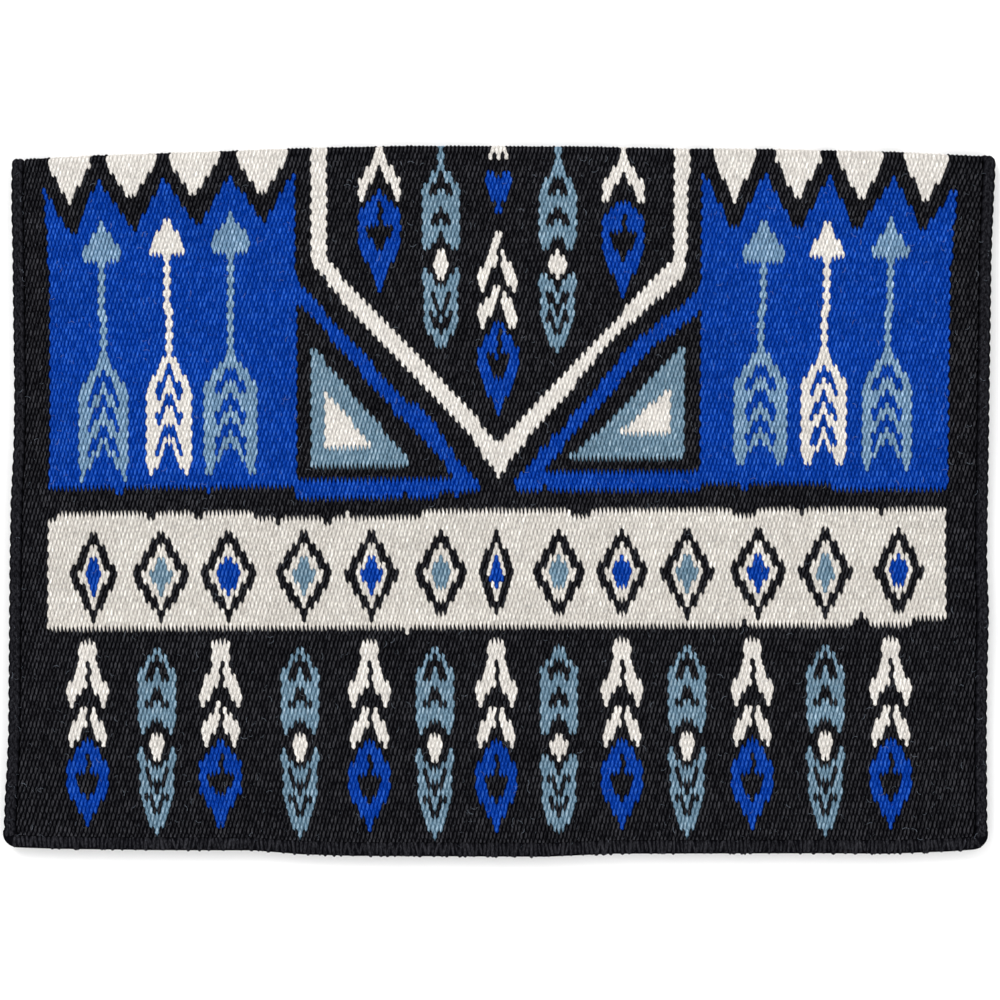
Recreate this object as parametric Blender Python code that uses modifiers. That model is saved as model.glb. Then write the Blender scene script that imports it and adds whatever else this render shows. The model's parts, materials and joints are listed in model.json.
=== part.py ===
# Hand-woven wool saddle blanket, folded in half at the spine of the horse.
# The cloth is slit tapestry: each coloured patch is woven against its neighbours, so each is a
# solid of the full cloth thickness that sits in the window its neighbours leave for it.
# X runs along the horse's back, Y from the hem to the fold, Z up through the two leaves.
import math

import bmesh
import bpy

for old_object in list(bpy.data.objects):
    bpy.data.objects.remove(old_object, do_unlink=True)

# Overall sizes, in metres
CLOTH_LENGTH = 0.864
LEAF_DEPTH = 0.620
CLOTH_THICKNESS = 0.0075
CLEARANCE = 0.0003
WELD_DISTANCE = 0.00001

# Weave: the weft crosses one warp end in each row of the cloth
END_PITCH = 0.0056
ENDS_A_STEP = 1

# Fold at the spine, and how the upper leaf settles on the lower one
FOLD_GAP = 0.003
REST_GAP = 0.0004
SETTLE_DEPTH = 0.085
SETTLE_CUTS = 5
ROLL_LEAD = 0.0005
ROLL_STEPS = 10

# Edges of the cloth
EDGE_PLAIT = 0.0105
EDGE_ROUND = 0.0022
HEM_CORD = 0.0115
HEM_CORNER = 0.009
HEM_CORNER_STEPS = 4
ROUND_SEGMENTS = 2
ROUND_ANGLE_SHARE = 0.25

# Lengths along the horse's back, from the edge of the cloth to the middle
BORDER = 0.0335
FIELD_WIDTH = 0.220
BLACK_STRIP = 0.0137
CHEVRON_ARM = 0.0133
BAND_MARGIN = 0.0352

# Depths from the crest of the fold down to the hem
FIELD_END = 0.3034
BAR_DEPTH = 0.0176
BAND_DEPTH = 0.1054

# Zigzag along the top of the arrow fields, and the ridge teeth above it
ZIGZAG_TEETH = 4
ZIGZAG_PEAK = 0.0264
ZIGZAG_DEPTH = 0.0502
TOOTH_MARGIN = 0.0308
TOOTH_WIDTH_SHARE = 0.46

# Chevron round the yoke
CHEVRON_CORNER = 0.0969
CHEVRON_CORNER_DROP = 0.0106
CHEVRON_APEX_MARGIN = 0.011
CHEVRON_APEX_DEPTH = 0.0295

# Royal stripe beside the chevron, and the strip along the foot of the field
STRIPE_TOP = 0.1233
STRIPE_DROP = 0.0203
STRIPE_LIP = 0.0058
STRIPE_END = 0.0154
FOOT_STRIP = 0.0172

# Triangles in the corner between stripe and foot strip: side, foot and slope margins
FRAME_SIDE = 0.0133
FRAME_FOOT = 0.0097
CORE_SIDE = 0.0123
CORE_FOOT = 0.0132
SLOPE_DROP = 0.021

# Arrows
ARROW_TIP = 0.0643
ARROW_HEAD_DEPTH = 0.0335
ARROW_HEAD_WIDTH = 0.0327
ARROW_SHAFT_WIDTH = 0.007
FLETCH_START = 0.1814
FLETCH_SHOULDER = 0.031
FLETCH_WIDTH = 0.044
FLETCH_TAIL_WIDTH = 0.0388
FLETCH_LENGTH = 0.1084
FLETCH_NOTCH = 0.0353
ARROW_PLACE_SHARES = (0.242, 0.498, 0.752)

# Places worked out from the sizes
HALF_LENGTH = CLOTH_LENGTH / 2
FIELD_OUTER = HALF_LENGTH - BORDER
FIELD_INNER = FIELD_OUTER - FIELD_WIDTH
CHEVRON_OUTER = FIELD_INNER - BLACK_STRIP
CHEVRON_INNER = CHEVRON_OUTER - CHEVRON_ARM
CHEVRON_APEX = FIELD_END - CHEVRON_APEX_MARGIN
YOKE_APEX = CHEVRON_APEX - CHEVRON_APEX_DEPTH
BAND_TOP = FIELD_END + BAR_DEPTH
BAND_END = BAND_TOP + BAND_DEPTH
GROUND_HALF = HALF_LENGTH - EDGE_PLAIT
GROUND_END = LEAF_DEPTH - HEM_CORD
STEP_DEPTH = END_PITCH * ENDS_A_STEP
ROLL_RADIUS = (CLOTH_THICKNESS + FOLD_GAP) / 2
ROLL_OUTER = ROLL_RADIUS + CLOTH_THICKNESS / 2
LEAF_START = ROLL_OUTER + ROLL_LEAD + CLEARANCE
ROLL_CENTRE_Y = LEAF_DEPTH / 2 - ROLL_OUTER
ROLL_CENTRE_Z = CLOTH_THICKNESS + FOLD_GAP / 2
HINGE_REACH = math.pi * ROLL_RADIUS / 4

# Yarns: colour, roughness
YARNS = {
    "black_yarn": ((0.012, 0.012, 0.014, 1.0), 0.95),
    "royal_yarn": ((0.008, 0.04, 0.42, 1.0), 0.9),
    "steel_yarn": ((0.13, 0.30, 0.42, 1.0), 0.9),
    "natural_yarn": ((0.76, 0.71, 0.62, 1.0), 0.92),
}


def yarn_material(name):
    """Return the wool of one colour, made the first time it is asked for."""
    if name in bpy.data.materials:
        return bpy.data.materials[name]
    colour, roughness = YARNS[name]
    material = bpy.data.materials.new(name)
    material.use_nodes = True
    shader = material.node_tree.nodes["Principled BSDF"]
    shader.inputs["Base Color"].default_value = colour
    shader.inputs["Roughness"].default_value = roughness
    shader.inputs["Metallic"].default_value = 0.0
    return material


# Outlines are lists of (x, depth) points, depth being measured from the crest of the fold
def both_halves(half):
    """Close a right half, given from top to bottom, with its mirror image."""
    left = [(-x, depth) for x, depth in reversed(half) if x > 0]
    return list(half) + left


def moved(outline, shift):
    """Shift an outline along the cloth."""
    return [(x + shift, depth) for x, depth in outline]


def mirrored(outline):
    """Reflect an outline in the middle of the cloth."""
    return [(-x, depth) for x, depth in reversed(outline)]


def grown(outline, distance):
    """Offset a closed outline outwards, or inwards by a negative distance."""
    count = len(outline)
    area = 0.0
    for i in range(count):
        (x0, y0), (x1, y1) = outline[i - 1], outline[i]
        area += x0 * y1 - x1 * y0
    turn = 1.0 if area > 0 else -1.0
    result = []
    for i in range(count):
        before, here, after = outline[i - 1], outline[i], outline[(i + 1) % count]
        first = (here[0] - before[0], here[1] - before[1])
        second = (after[0] - here[0], after[1] - here[1])
        length_1, length_2 = math.hypot(*first), math.hypot(*second)
        normal_1 = (turn * first[1] / length_1, -turn * first[0] / length_1)
        normal_2 = (turn * second[1] / length_2, -turn * second[0] / length_2)
        spread = 1 + normal_1[0] * normal_2[0] + normal_1[1] * normal_2[1]
        result.append(
            (
                here[0] + distance * (normal_1[0] + normal_2[0]) / spread,
                here[1] + distance * (normal_1[1] + normal_2[1]) / spread,
            )
        )
    return result


def cut_at_fold(outline):
    """Keep what lies below the start of the leaf, running from the left crossing to the right."""
    kept = []
    for i in range(len(outline)):
        (x0, y0), (x1, y1) = outline[i - 1], outline[i]
        if (y0 < LEAF_START) != (y1 < LEAF_START):
            share = (LEAF_START - y0) / (y1 - y0)
            kept.append((x0 + share * (x1 - x0), LEAF_START))
        if y1 >= LEAF_START:
            kept.append((x1, y1))
    crossings = [i for i, point in enumerate(kept) if point[1] == LEAF_START]
    if len(crossings) < 2:
        return kept
    left = min(crossings, key=lambda i: kept[i][0])
    kept = kept[left:] + kept[:left]
    if kept[1][1] == LEAF_START:
        kept = [kept[0]] + kept[:0:-1]
    return kept


def stepped(start, end):
    """Run a slanting edge in steps, as tapestry does: down whole warp ends, then across."""
    steps = max(1, round(abs(end[1] - start[1]) / STEP_DEPTH))
    points = []
    for i in range(steps):
        across = start[0] + (end[0] - start[0]) * (i + 1 / 2) / steps
        for row in (i, i + 1):
            points.append((across, start[1] + (end[1] - start[1]) * row / steps))
    return points


def tooth_outline(place, half_width, reach):
    """Outline a ridge tooth, its base on the crest of the fold."""
    return [(place - half_width, 0.0), (place, reach), (place + half_width, 0.0)]


def chevron_outline():
    """Outline the outer side of the chevron, with the yoke inside it."""
    corner = (CHEVRON_OUTER, CHEVRON_CORNER + CHEVRON_CORNER_DROP)
    right = [(CHEVRON_OUTER, 0.0)] + stepped(corner, (0.0, CHEVRON_APEX))
    return right + [(-x, depth) for x, depth in reversed(right)]


def yoke_outline():
    """Outline the yoke, the black field inside the chevron."""
    right = [(CHEVRON_INNER, 0.0)] + stepped((CHEVRON_INNER, CHEVRON_CORNER), (0.0, YOKE_APEX))
    return right + [(-x, depth) for x, depth in reversed(right)]


def field_outline():
    """Outline the rear arrow field with its slanting stripe and its foot strip."""
    pitch = FIELD_WIDTH / ZIGZAG_TEETH
    outline = [(FIELD_OUTER, ZIGZAG_PEAK)]
    for tooth in range(ZIGZAG_TEETH):
        outline.append((FIELD_OUTER - pitch * (tooth + 1 / 2), ZIGZAG_PEAK + ZIGZAG_DEPTH))
        outline.append((FIELD_OUTER - pitch * (tooth + 1), ZIGZAG_PEAK))
    outline += stepped((FIELD_INNER, STRIPE_TOP), (STRIPE_END, FIELD_END - STRIPE_LIP))
    return outline + [(STRIPE_END, FIELD_END), (FIELD_OUTER, FIELD_END)]


def corner_outline(side, foot, drop):
    """Outline a triangle in the rear corner, held off the field's side, foot and stripe."""
    slope = (FIELD_END - STRIPE_LIP - STRIPE_TOP) / (FIELD_INNER - STRIPE_END)
    x = FIELD_INNER - side
    top = STRIPE_TOP + STRIPE_DROP + drop + side * slope
    bottom = FIELD_END - FOOT_STRIP - foot
    tip = (x - (bottom - top) / slope, bottom)
    return [(x, bottom), (x, top)] + stepped((x, top), tip)


def arrow_outline():
    """Outline an arrow with its head towards the fold and its fletching towards the hem."""
    shaft, base = ARROW_SHAFT_WIDTH / 2, ARROW_TIP + ARROW_HEAD_DEPTH
    tail = FLETCH_START + FLETCH_LENGTH
    half = [(0.0, ARROW_TIP), (ARROW_HEAD_WIDTH / 2, base), (shaft, base), (shaft, FLETCH_START)]
    half += [(FLETCH_WIDTH / 2, FLETCH_START + FLETCH_SHOULDER), (FLETCH_TAIL_WIDTH / 2, tail)]
    return both_halves(half + [(0.0, tail - FLETCH_NOTCH)])


def window(outlines):
    """Give the windows that these patches need in their neighbour."""
    return [grown(outline, CLEARANCE / 2) for outline in outlines]


def fitted(outlines):
    """Give these patches at the size that fits their windows."""
    return [cut_at_fold(grown(outline, -CLEARANCE / 2)) for outline in outlines]


def notched(outline, windows):
    """Cut windows into an outline: those that reach the fold as notches, the others as holes."""
    edge = cut_at_fold(grown(outline, -CLEARANCE / 2))
    path = [edge[0]]
    holes = []
    for hole in sorted(windows, key=lambda w: min(x for x, depth in w)):
        if min(depth for x, depth in hole) < LEAF_START:
            path += cut_at_fold(hole)
        else:
            holes.append(hole)
    return [path + edge[:0:-1]] + holes


def lift(depth):
    """Give the gap under the upper leaf: open at the fold, closing where it settles."""
    share = min(max((depth - LEAF_START) / (SETTLE_DEPTH - LEAF_START), 0.0), 1.0)
    eased = share * share * (3 - 2 * share)
    return FOLD_GAP + (REST_GAP - FOLD_GAP) * eased


def flat_mesh(name, outlines):
    """Make a solid of the cloth's thickness from outlines; inner ones are holes."""
    curve = bpy.data.curves.new(name, "CURVE")
    curve.dimensions = "2D"
    curve.fill_mode = "BOTH"
    curve.extrude = CLOTH_THICKNESS / 2
    for outline in outlines:
        spline = curve.splines.new("POLY")
        spline.points.add(len(outline) - 1)
        spline.use_cyclic_u = True
        for point, (x, depth) in zip(spline.points, outline):
            point.co = (x, LEAF_DEPTH / 2 - depth, 0.0, 1.0)
    guide = bpy.data.objects.new(name + "_outline", curve)
    bpy.context.scene.collection.objects.link(guide)
    evaluated = guide.evaluated_get(bpy.context.evaluated_depsgraph_get())
    mesh = bpy.data.meshes.new_from_object(evaluated)
    bpy.data.objects.remove(guide, do_unlink=True)
    bpy.data.curves.remove(curve)
    mesh.name = name
    body = bmesh.new()
    body.from_mesh(mesh)
    bmesh.ops.remove_doubles(body, verts=body.verts, dist=WELD_DISTANCE)
    bmesh.ops.recalc_face_normals(body, faces=body.faces)
    body.to_mesh(mesh)
    body.free()
    return mesh


def settle(mesh):
    """Bend a flat solid of the upper leaf down to the lower leaf beside the fold."""
    body = bmesh.new()
    body.from_mesh(mesh)
    for cut in range(SETTLE_CUTS + 1):
        depth = LEAF_START + (SETTLE_DEPTH - LEAF_START) * (cut + 1) / (SETTLE_CUTS + 1)
        bmesh.ops.bisect_plane(
            body,
            geom=body.verts[:] + body.edges[:] + body.faces[:],
            dist=WELD_DISTANCE,
            plane_co=(0.0, LEAF_DEPTH / 2 - depth, 0.0),
            plane_no=(0.0, 1.0, 0.0),
        )
    for vertex in body.verts:
        vertex.co.z += lift(LEAF_DEPTH / 2 - vertex.co.y)
    body.to_mesh(mesh)
    body.free()


def place(name, mesh, yarn, leaf):
    """Put a solid into its leaf; the upper leaf hangs on the second hinge."""
    mesh.materials.clear()
    mesh.materials.append(yarn_material(yarn + "_yarn"))
    piece = bpy.data.objects.new(name, mesh)
    parts.objects.link(piece)
    height = CLOTH_THICKNESS / 2
    if leaf == "near":
        settle(mesh)
        height += CLOTH_THICKNESS
        piece.parent = near_hinge
        hinge = near_hinge.location + spine_hinge.location
        piece.location = (-hinge.x, -hinge.y, height - hinge.z)
    else:
        piece.location = (0.0, 0.0, height)


def rounded(mesh, width):
    """Round the long edges of a cord by a bevel, which is applied to its mesh."""
    blank = bpy.data.objects.new("rounding", mesh)
    bpy.context.scene.collection.objects.link(blank)
    bevel = blank.modifiers.new("round", "BEVEL")
    bevel.width = width
    bevel.segments = ROUND_SEGMENTS
    bevel.limit_method = "ANGLE"
    bevel.angle_limit = math.pi * ROUND_ANGLE_SHARE
    evaluated = blank.evaluated_get(bpy.context.evaluated_depsgraph_get())
    smooth = bpy.data.meshes.new_from_object(evaluated)
    bpy.data.objects.remove(blank, do_unlink=True)
    smooth.shade_smooth()
    smooth.set_sharp_from_angle(angle=math.pi * ROUND_ANGLE_SHARE)
    return smooth


def weave_ground(leaf, windows):
    """Weave the black ground: borders, zigzags, bar and hem field in one cloth."""
    sheet = [(-GROUND_HALF, 0.0), (-GROUND_HALF, GROUND_END), (GROUND_HALF, GROUND_END), (GROUND_HALF, 0.0)]
    place(leaf + "_ground_weave", flat_mesh("ground", notched(sheet, windows)), "black", leaf)


def weave_ridge(leaf):
    """Weave the natural teeth along the fold, and return their outlines."""
    pitch = FIELD_WIDTH / ZIGZAG_TEETH
    reach = ZIGZAG_PEAK + ZIGZAG_DEPTH - TOOTH_MARGIN
    rear = []
    for tooth in range(ZIGZAG_TEETH):
        x = FIELD_OUTER - pitch * (tooth + 1 / 2)
        rear.append(tooth_outline(x, pitch * TOOTH_WIDTH_SHARE, reach))
    front = [mirrored(outline) for outline in rear]
    for end, teeth in (("front", front), ("rear", rear)):
        for number, tooth in enumerate(teeth, start=1):
            mesh = flat_mesh("tooth", fitted([tooth]))
            place(f"{leaf}_ridge_tooth_{end}_{number}", mesh, "natural", leaf)
    return front + rear


def weave_fields(leaf):
    """Weave both arrow fields with their arrows and corner triangles; return the fields."""
    arrow_names = ("outer", "middle", "inner")
    frame = corner_outline(0.0, 0.0, 0.0)
    triangle = corner_outline(FRAME_SIDE, FRAME_FOOT, SLOPE_DROP)
    core = corner_outline(FRAME_SIDE + CORE_SIDE, FRAME_FOOT + CORE_FOOT, SLOPE_DROP * 2)
    arrows = [moved(arrow_outline(), FIELD_OUTER - FIELD_WIDTH * share) for share in ARROW_PLACE_SHARES]
    fields = []
    for end in ("front", "rear"):
        turned = mirrored if end == "front" else list
        shafts = [turned(arrow) for arrow in arrows]
        field, black, steel, natural = (turned(o) for o in (field_outline(), frame, triangle, core))
        solid = fitted([field]) + window(shafts + [black])
        place(f"{leaf}_arrow_field_{end}", flat_mesh("field", solid), "royal", leaf)
        for name, shaft in zip(arrow_names, shafts):
            yarn = "natural" if name == "middle" else "steel"
            place(f"{leaf}_arrow_{end}_{name}", flat_mesh("arrow", fitted([shaft])), yarn, leaf)
        solid = fitted([black]) + window([steel])
        place(f"{leaf}_corner_frame_{end}", flat_mesh("frame", solid), "black", leaf)
        solid = fitted([steel]) + window([natural])
        place(f"{leaf}_corner_triangle_{end}", flat_mesh("triangle", solid), "steel", leaf)
        place(f"{leaf}_corner_core_{end}", flat_mesh("core", fitted([natural])), "natural", leaf)
        fields.append(field)
    return fields


def weave_yoke(leaf):
    """Weave the chevron and the yoke inside it; return the chevron's outline."""
    outer, inner = chevron_outline(), yoke_outline()
    place(leaf + "_chevron", flat_mesh("chevron", notched(outer, window([inner]))), "natural", leaf)
    place(leaf + "_yoke_field", flat_mesh("yoke", fitted([inner])), "black", leaf)
    return outer


def weave_band(leaf):
    """Weave the natural band that carries the diamonds, and return its outline."""
    half = HALF_LENGTH - BAND_MARGIN
    band = [(-half, BAND_TOP), (-half, BAND_END), (half, BAND_END), (half, BAND_TOP)]
    place(leaf + "_diamond_band", flat_mesh("band", fitted([band])), "natural", leaf)
    return band


def bind_edges(leaf):
    """Bind the cloth: a plait of warp ends down each side, and a heavy cord along the hem."""
    inner, end = GROUND_HALF + CLEARANCE / 2, GROUND_END - CLEARANCE / 2
    plait = [(inner, LEAF_START), (inner, end), (HALF_LENGTH, end), (HALF_LENGTH, LEAF_START)]
    for name, outline in (("front", mirrored(plait)), ("rear", plait)):
        cord = rounded(flat_mesh("plait", [outline]), EDGE_ROUND)
        place(f"{leaf}_edge_plait_{name}", cord, "black", leaf)
    half = [(HALF_LENGTH, GROUND_END + CLEARANCE / 2)]
    for step in range(HEM_CORNER_STEPS + 1):
        angle = math.pi / 2 * step / HEM_CORNER_STEPS
        x = HALF_LENGTH - HEM_CORNER * (1 - math.cos(angle))
        half.append((x, LEAF_DEPTH - HEM_CORNER * (1 - math.sin(angle))))
    cord = rounded(flat_mesh("hem", [both_halves(half)]), EDGE_ROUND)
    place(leaf + "_hem_cord", cord, "black", leaf)


def weave_leaf(leaf):
    """Weave one leaf, from the fold to the hem."""
    patches = weave_ridge(leaf) + weave_fields(leaf) + [weave_yoke(leaf), weave_band(leaf)]
    weave_ground(leaf, window(patches))
    bind_edges(leaf)


def bend_roll():
    """Bend the strip of cloth that goes round the fold."""
    arc = [(-ROLL_LEAD, -ROLL_RADIUS)]
    for step in range(ROLL_STEPS + 1):
        angle = math.pi * (step / ROLL_STEPS - 1 / 2)
        arc.append((ROLL_RADIUS * math.cos(angle), ROLL_RADIUS * math.sin(angle)))
    arc.append((-ROLL_LEAD, ROLL_RADIUS))
    body = bmesh.new()
    rows = []
    for x in (-HALF_LENGTH, HALF_LENGTH):
        rows.append([body.verts.new((x, y, z)) for y, z in arc])
    for i in range(len(arc) - 1):
        body.faces.new((rows[0][i], rows[1][i], rows[1][i + 1], rows[0][i + 1]))
    mesh = bpy.data.meshes.new("roll")
    body.to_mesh(mesh)
    body.free()
    mesh.materials.append(yarn_material("black_yarn"))
    roll = bpy.data.objects.new("spine_roll", mesh)
    parts.objects.link(roll)
    wall = roll.modifiers.new("cloth", "SOLIDIFY")
    wall.thickness = CLOTH_THICKNESS
    wall.offset = 0.0
    wall.use_even_offset = True
    roll.parent = spine_hinge
    roll.location = (0.0, -HINGE_REACH, HINGE_REACH)


def hinge_empty(name, location, parent):
    """Mark a hinge line of the fold."""
    hinge = bpy.data.objects.new(name, None)
    parts.objects.link(hinge)
    hinge.parent = parent
    hinge.location = location
    return hinge


parts = bpy.data.collections.new("saddle_blanket")
bpy.context.scene.collection.children.link(parts)
first_line = (0.0, ROLL_CENTRE_Y + HINGE_REACH, ROLL_CENTRE_Z - HINGE_REACH)
spine_hinge = hinge_empty("spine_hinge", first_line, None)
near_hinge = hinge_empty("near_hinge", (0.0, 0.0, HINGE_REACH * 2), spine_hinge)
weave_leaf("off")
weave_leaf("near")
bend_roll()
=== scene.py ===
import json
import math

import bmesh
import bpy
import numpy as np
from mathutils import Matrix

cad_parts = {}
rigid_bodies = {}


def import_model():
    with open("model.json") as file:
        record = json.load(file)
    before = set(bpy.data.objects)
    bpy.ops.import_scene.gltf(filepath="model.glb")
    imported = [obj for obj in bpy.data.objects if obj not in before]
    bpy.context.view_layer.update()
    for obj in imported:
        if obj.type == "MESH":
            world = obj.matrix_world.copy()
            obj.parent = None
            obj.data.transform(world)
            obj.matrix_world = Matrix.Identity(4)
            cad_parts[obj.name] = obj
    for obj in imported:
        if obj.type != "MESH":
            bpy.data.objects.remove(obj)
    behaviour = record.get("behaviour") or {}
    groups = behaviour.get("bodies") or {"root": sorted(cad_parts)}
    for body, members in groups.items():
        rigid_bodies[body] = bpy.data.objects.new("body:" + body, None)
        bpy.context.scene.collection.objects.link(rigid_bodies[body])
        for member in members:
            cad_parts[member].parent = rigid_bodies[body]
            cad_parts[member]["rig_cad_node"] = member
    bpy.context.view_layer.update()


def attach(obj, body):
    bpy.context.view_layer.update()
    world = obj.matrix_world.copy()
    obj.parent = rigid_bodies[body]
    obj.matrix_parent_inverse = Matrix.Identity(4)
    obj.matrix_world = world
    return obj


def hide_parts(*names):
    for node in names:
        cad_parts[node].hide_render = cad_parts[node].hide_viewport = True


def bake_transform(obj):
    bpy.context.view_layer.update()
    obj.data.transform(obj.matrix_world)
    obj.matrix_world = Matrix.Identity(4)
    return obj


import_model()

# ---------------------------------------------------------------------------------------------
# Teeth along the fold: eight white triangles on each leaf that meet at the spine. Natural wool
# weft, beaten down so hard that it hides the warp; each colour is its own yarn, turned back
# where the pattern changes, so the patches interlock float by float on one common set of warps.

SQUARE = 0.0008807           # one square of the weaver's squared drawing
SIDE_LENGTH = 0.6085         # of a leaf's side, from the spine to the hem
HALF_FLOATS = 241            # half floats from the middle to the side selvedge
HALF_PITCH = 0.4215 / HALF_FLOATS
LAST_ROW = 109
ROLL_RADIUS = 0.00525        # of the middle of the cloth where it turns at the spine
ROLL_Y = 0.301
ROLL_Z = 0.009
ROLL_ARC = ROLL_RADIUS * math.pi / 2
DEPTH_LEAD = ROLL_Z - ROLL_ARC       # seen depth minus length of cloth
HALF_CLOTH = 0.00375
RELIEF = 0.00155             # how far a float stands out of the valleys beside it
CLOTH_LENGTH = SIDE_LENGTH - DEPTH_LEAD
CREST_WIDTH, CREST_LENGTH, CREST_LEAN = 0.30, 0.40, 0.34     # of a float, in half floats and rows
FLOAT_LEAN = 0.11
SAME_COLOUR = (0.27, 0.84, 0.84)     # where a joint's bulge starts, and how far it goes over and under
LEVEL_JOIN = (0.24, 0.62, 0.62)
BLUNT_START, BLUNT, FAT = 0.38, 0.86, 1.16
BULGE_CREST = 0.3            # height of the bulge beside a float's crest
SHORT_TIP = 0.40             # how many rows short of its place a lone tip ends
BEAT_ACROSS, BEAT_ALONG = 0.00019, 0.00040       # unevenness of the hand's beat
HALF_LENGTH = 0.432
LEAF_DEPTH = 0.620
FOLD_GAP = 0.003
REST_GAP = 0.0004
LIFT_FROM = 0.0098
SETTLED_AT = 0.085
TURN_ROWS, TURN_CUTS = 3, 4          # rows that reach the spine, and cuts that let the cloth turn round it
UV_WIDTH, UV_LENGTH = 0.9, 1.3       # of the cloth that one sheet of the texture holds
SHARP_ANGLE = math.radians(62)

columns, rows = np.meshgrid(np.arange(-HALF_FLOATS, HALF_FLOATS + 1), np.arange(LAST_ROW + 1))
float_x = columns * HALF_PITCH
free = (columns + rows) % 2 == 0
beat = np.random.default_rng(34)
jitter_x = beat.normal(0, BEAT_ACROSS, columns.shape)
jitter_s = beat.normal(0, BEAT_ALONG, columns.shape)
jitter_s[0] = 0
jitter_x[0] = 0

FOLD_BREAKS = (-0.432, -0.353, -0.238, -0.150, -0.078, 0.080, 0.152, 0.238, 0.353, 0.432)
FOLD_LINE = (-0.0088, -0.0048, -0.0009, 0.0022, 0.0037, 0.0030, 0.0012, 0.0009, -0.0018, -0.0060)


def row_length(row):
    """Length of cloth from the spine to a row of floats; the beat is tighter near the spine."""
    share = np.asarray(row, float) / LAST_ROW
    return CLOTH_LENGTH * (share + 0.08 * share * (share - 1))


float_depth = row_length(rows) + DEPTH_LEAD


def smooth(value):
    """A share from 0 to 1 with a soft start and end."""
    value = np.clip(value, 0, 1)
    return value * value * (3 - 2 * value)


def wander(x, depth):
    """How far hand weaving and use have drawn a point of the cloth from its place, along X and Y."""
    u = x / HALF_LENGTH
    t = np.clip((depth - 0.010) / (LEAF_DEPTH - 0.010), 0, 1)
    hem = np.interp(u, (-1, -0.9, -0.7, -0.5, -0.4, -0.3, 0.1, 0.24, 0.67, 0.8, 0.92, 1),
                    (0.0045, 0.0030, 0.0018, 0.0016, -0.002, -0.0033, -0.0040, -0.0014, -0.0009, -0.0014,
                     0.0005, 0.003))
    dy = np.interp(x, FOLD_BREAKS, FOLD_LINE) * (1 - t) ** 3.3
    dy = dy + (0.0010 + 0.0025 * u) * 4 * t * (1 - t) + hem * t ** 8
    front = np.interp(t, (0, 0.06, 0.13, 0.24, 0.34, 0.41, 0.49, 0.58, 0.75, 0.83, 0.88, 0.93, 1),
                      (0.0040, 0.0036, 0.0044, 0.0052, 0.0060, 0.0053, 0.0028, 0.0018, 0.0010, 0.0006,
                       -0.0008, -0.0026, -0.0038))
    rear = np.interp(t, (0, 0.06, 0.14, 0.24, 0.34, 0.45, 0.58, 0.66, 0.75, 0.83, 1),
                     (0.0048, 0.0034, 0.0018, 0.0009, 0, -0.0009, -0.0022, -0.0006, -0.0018, -0.0024, -0.0018))
    edge = smooth((np.abs(u) - 0.85) / 0.15)
    dx = np.where(u < 0, front, rear) * edge
    dx = dx - 0.0028 * np.sqrt(np.clip(u, 0, 1)) * np.minimum(t / 0.4, 1) * (1 - edge)
    return dx, dy


def ripple(x, depth):
    """The slight waves of the upper leaf, never downwards."""
    wave = np.sin(x * 21 + 2.1 * np.sin(depth * 9)) * np.sin(depth * 17 + 1.3) + 0.5 * np.sin(x * 47 + depth * 31)
    return 0.0008 * smooth((wave + 1.5) / 3) * smooth((depth - 0.02) / 0.08)


def drape(leaf, flat):
    """Points of the flat cloth (x, minus the length from the spine, height over its middle) laid as folded."""
    x, s, height = flat[:, 0], -flat[:, 1], flat[:, 2]
    depth = s + DEPTH_LEAD
    turn = np.clip(s / ROLL_ARC, 0, 1) * math.pi / 2
    out = ROLL_RADIUS + height
    dx, dy = wander(x, depth)
    y = ROLL_Y + out * np.cos(turn) - np.maximum(s - ROLL_ARC, 0) + dy
    z = out * np.sin(turn)
    if leaf == "near":
        drop = (FOLD_GAP - REST_GAP) * smooth((depth - LIFT_FROM) / (SETTLED_AT - LIFT_FROM))
        z = ROLL_Z + z - drop + ripple(x, depth)
    else:
        z = ROLL_Z - z
    return np.column_stack([x + dx, y, z])


def within(outline, depth=float_depth):
    """The floats whose middles lie inside an outline, which is given in squares of the drawing."""
    hit = np.zeros(columns.shape, bool)
    corners = [(px * SQUARE, py * SQUARE) for px, py in outline]
    for (x0, d0), (x1, d1) in zip(corners, corners[1:] + corners[:1]):
        if d0 != d1:
            across = (d0 <= depth) != (d1 <= depth)
            hit ^= across & (float_x < x0 + (depth - d0) * (x1 - x0) / (d1 - d0))
    return hit


def figure(column, row, right_half):
    """The floats inside a figure that is the same left and right, drawn from a place on its middle line."""
    whole = list(right_half) + [(-px, py) for px, py in reversed(right_half) if px]
    return within([(column + px, row + py) for px, py in whole])


def claim(cells):
    """The floats of a patch that no earlier patch has taken; they are this patch's from now on."""
    taken = cells & free
    free[taken] = False
    return taken


def node_group(name, kind, inputs, outputs):
    """A new tree with named inputs and outputs: the tree, what it is given, and its result node."""
    tree = bpy.data.node_groups.new(name, kind)
    for label, socket, value in inputs:
        made = tree.interface.new_socket(label, in_out="INPUT", socket_type=socket)
        if value is not None:
            made.default_value = value
    for label, socket in outputs:
        tree.interface.new_socket(label, in_out="OUTPUT", socket_type=socket)
    return tree, tree.nodes.new("NodeGroupInput").outputs, tree.nodes.new("NodeGroupOutput")


def put(tree, kind, inputs=None, **settings):
    """A node with its settings, its inputs set to values or linked from sockets."""
    node = tree.nodes.new(kind)
    for key, value in settings.items():
        setattr(node, key, value)
    for key, value in (inputs or {}).items():
        if isinstance(value, bpy.types.NodeSocket):
            tree.links.new(value, node.inputs[key])
        else:
            node.inputs[key].default_value = value
    return node


def maths(tree, operation, *values, **settings):
    """What a Math node makes of one, two or three values."""
    return put(tree, "ShaderNodeMath", dict(enumerate(values)), operation=operation, **settings).outputs[0]


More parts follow.
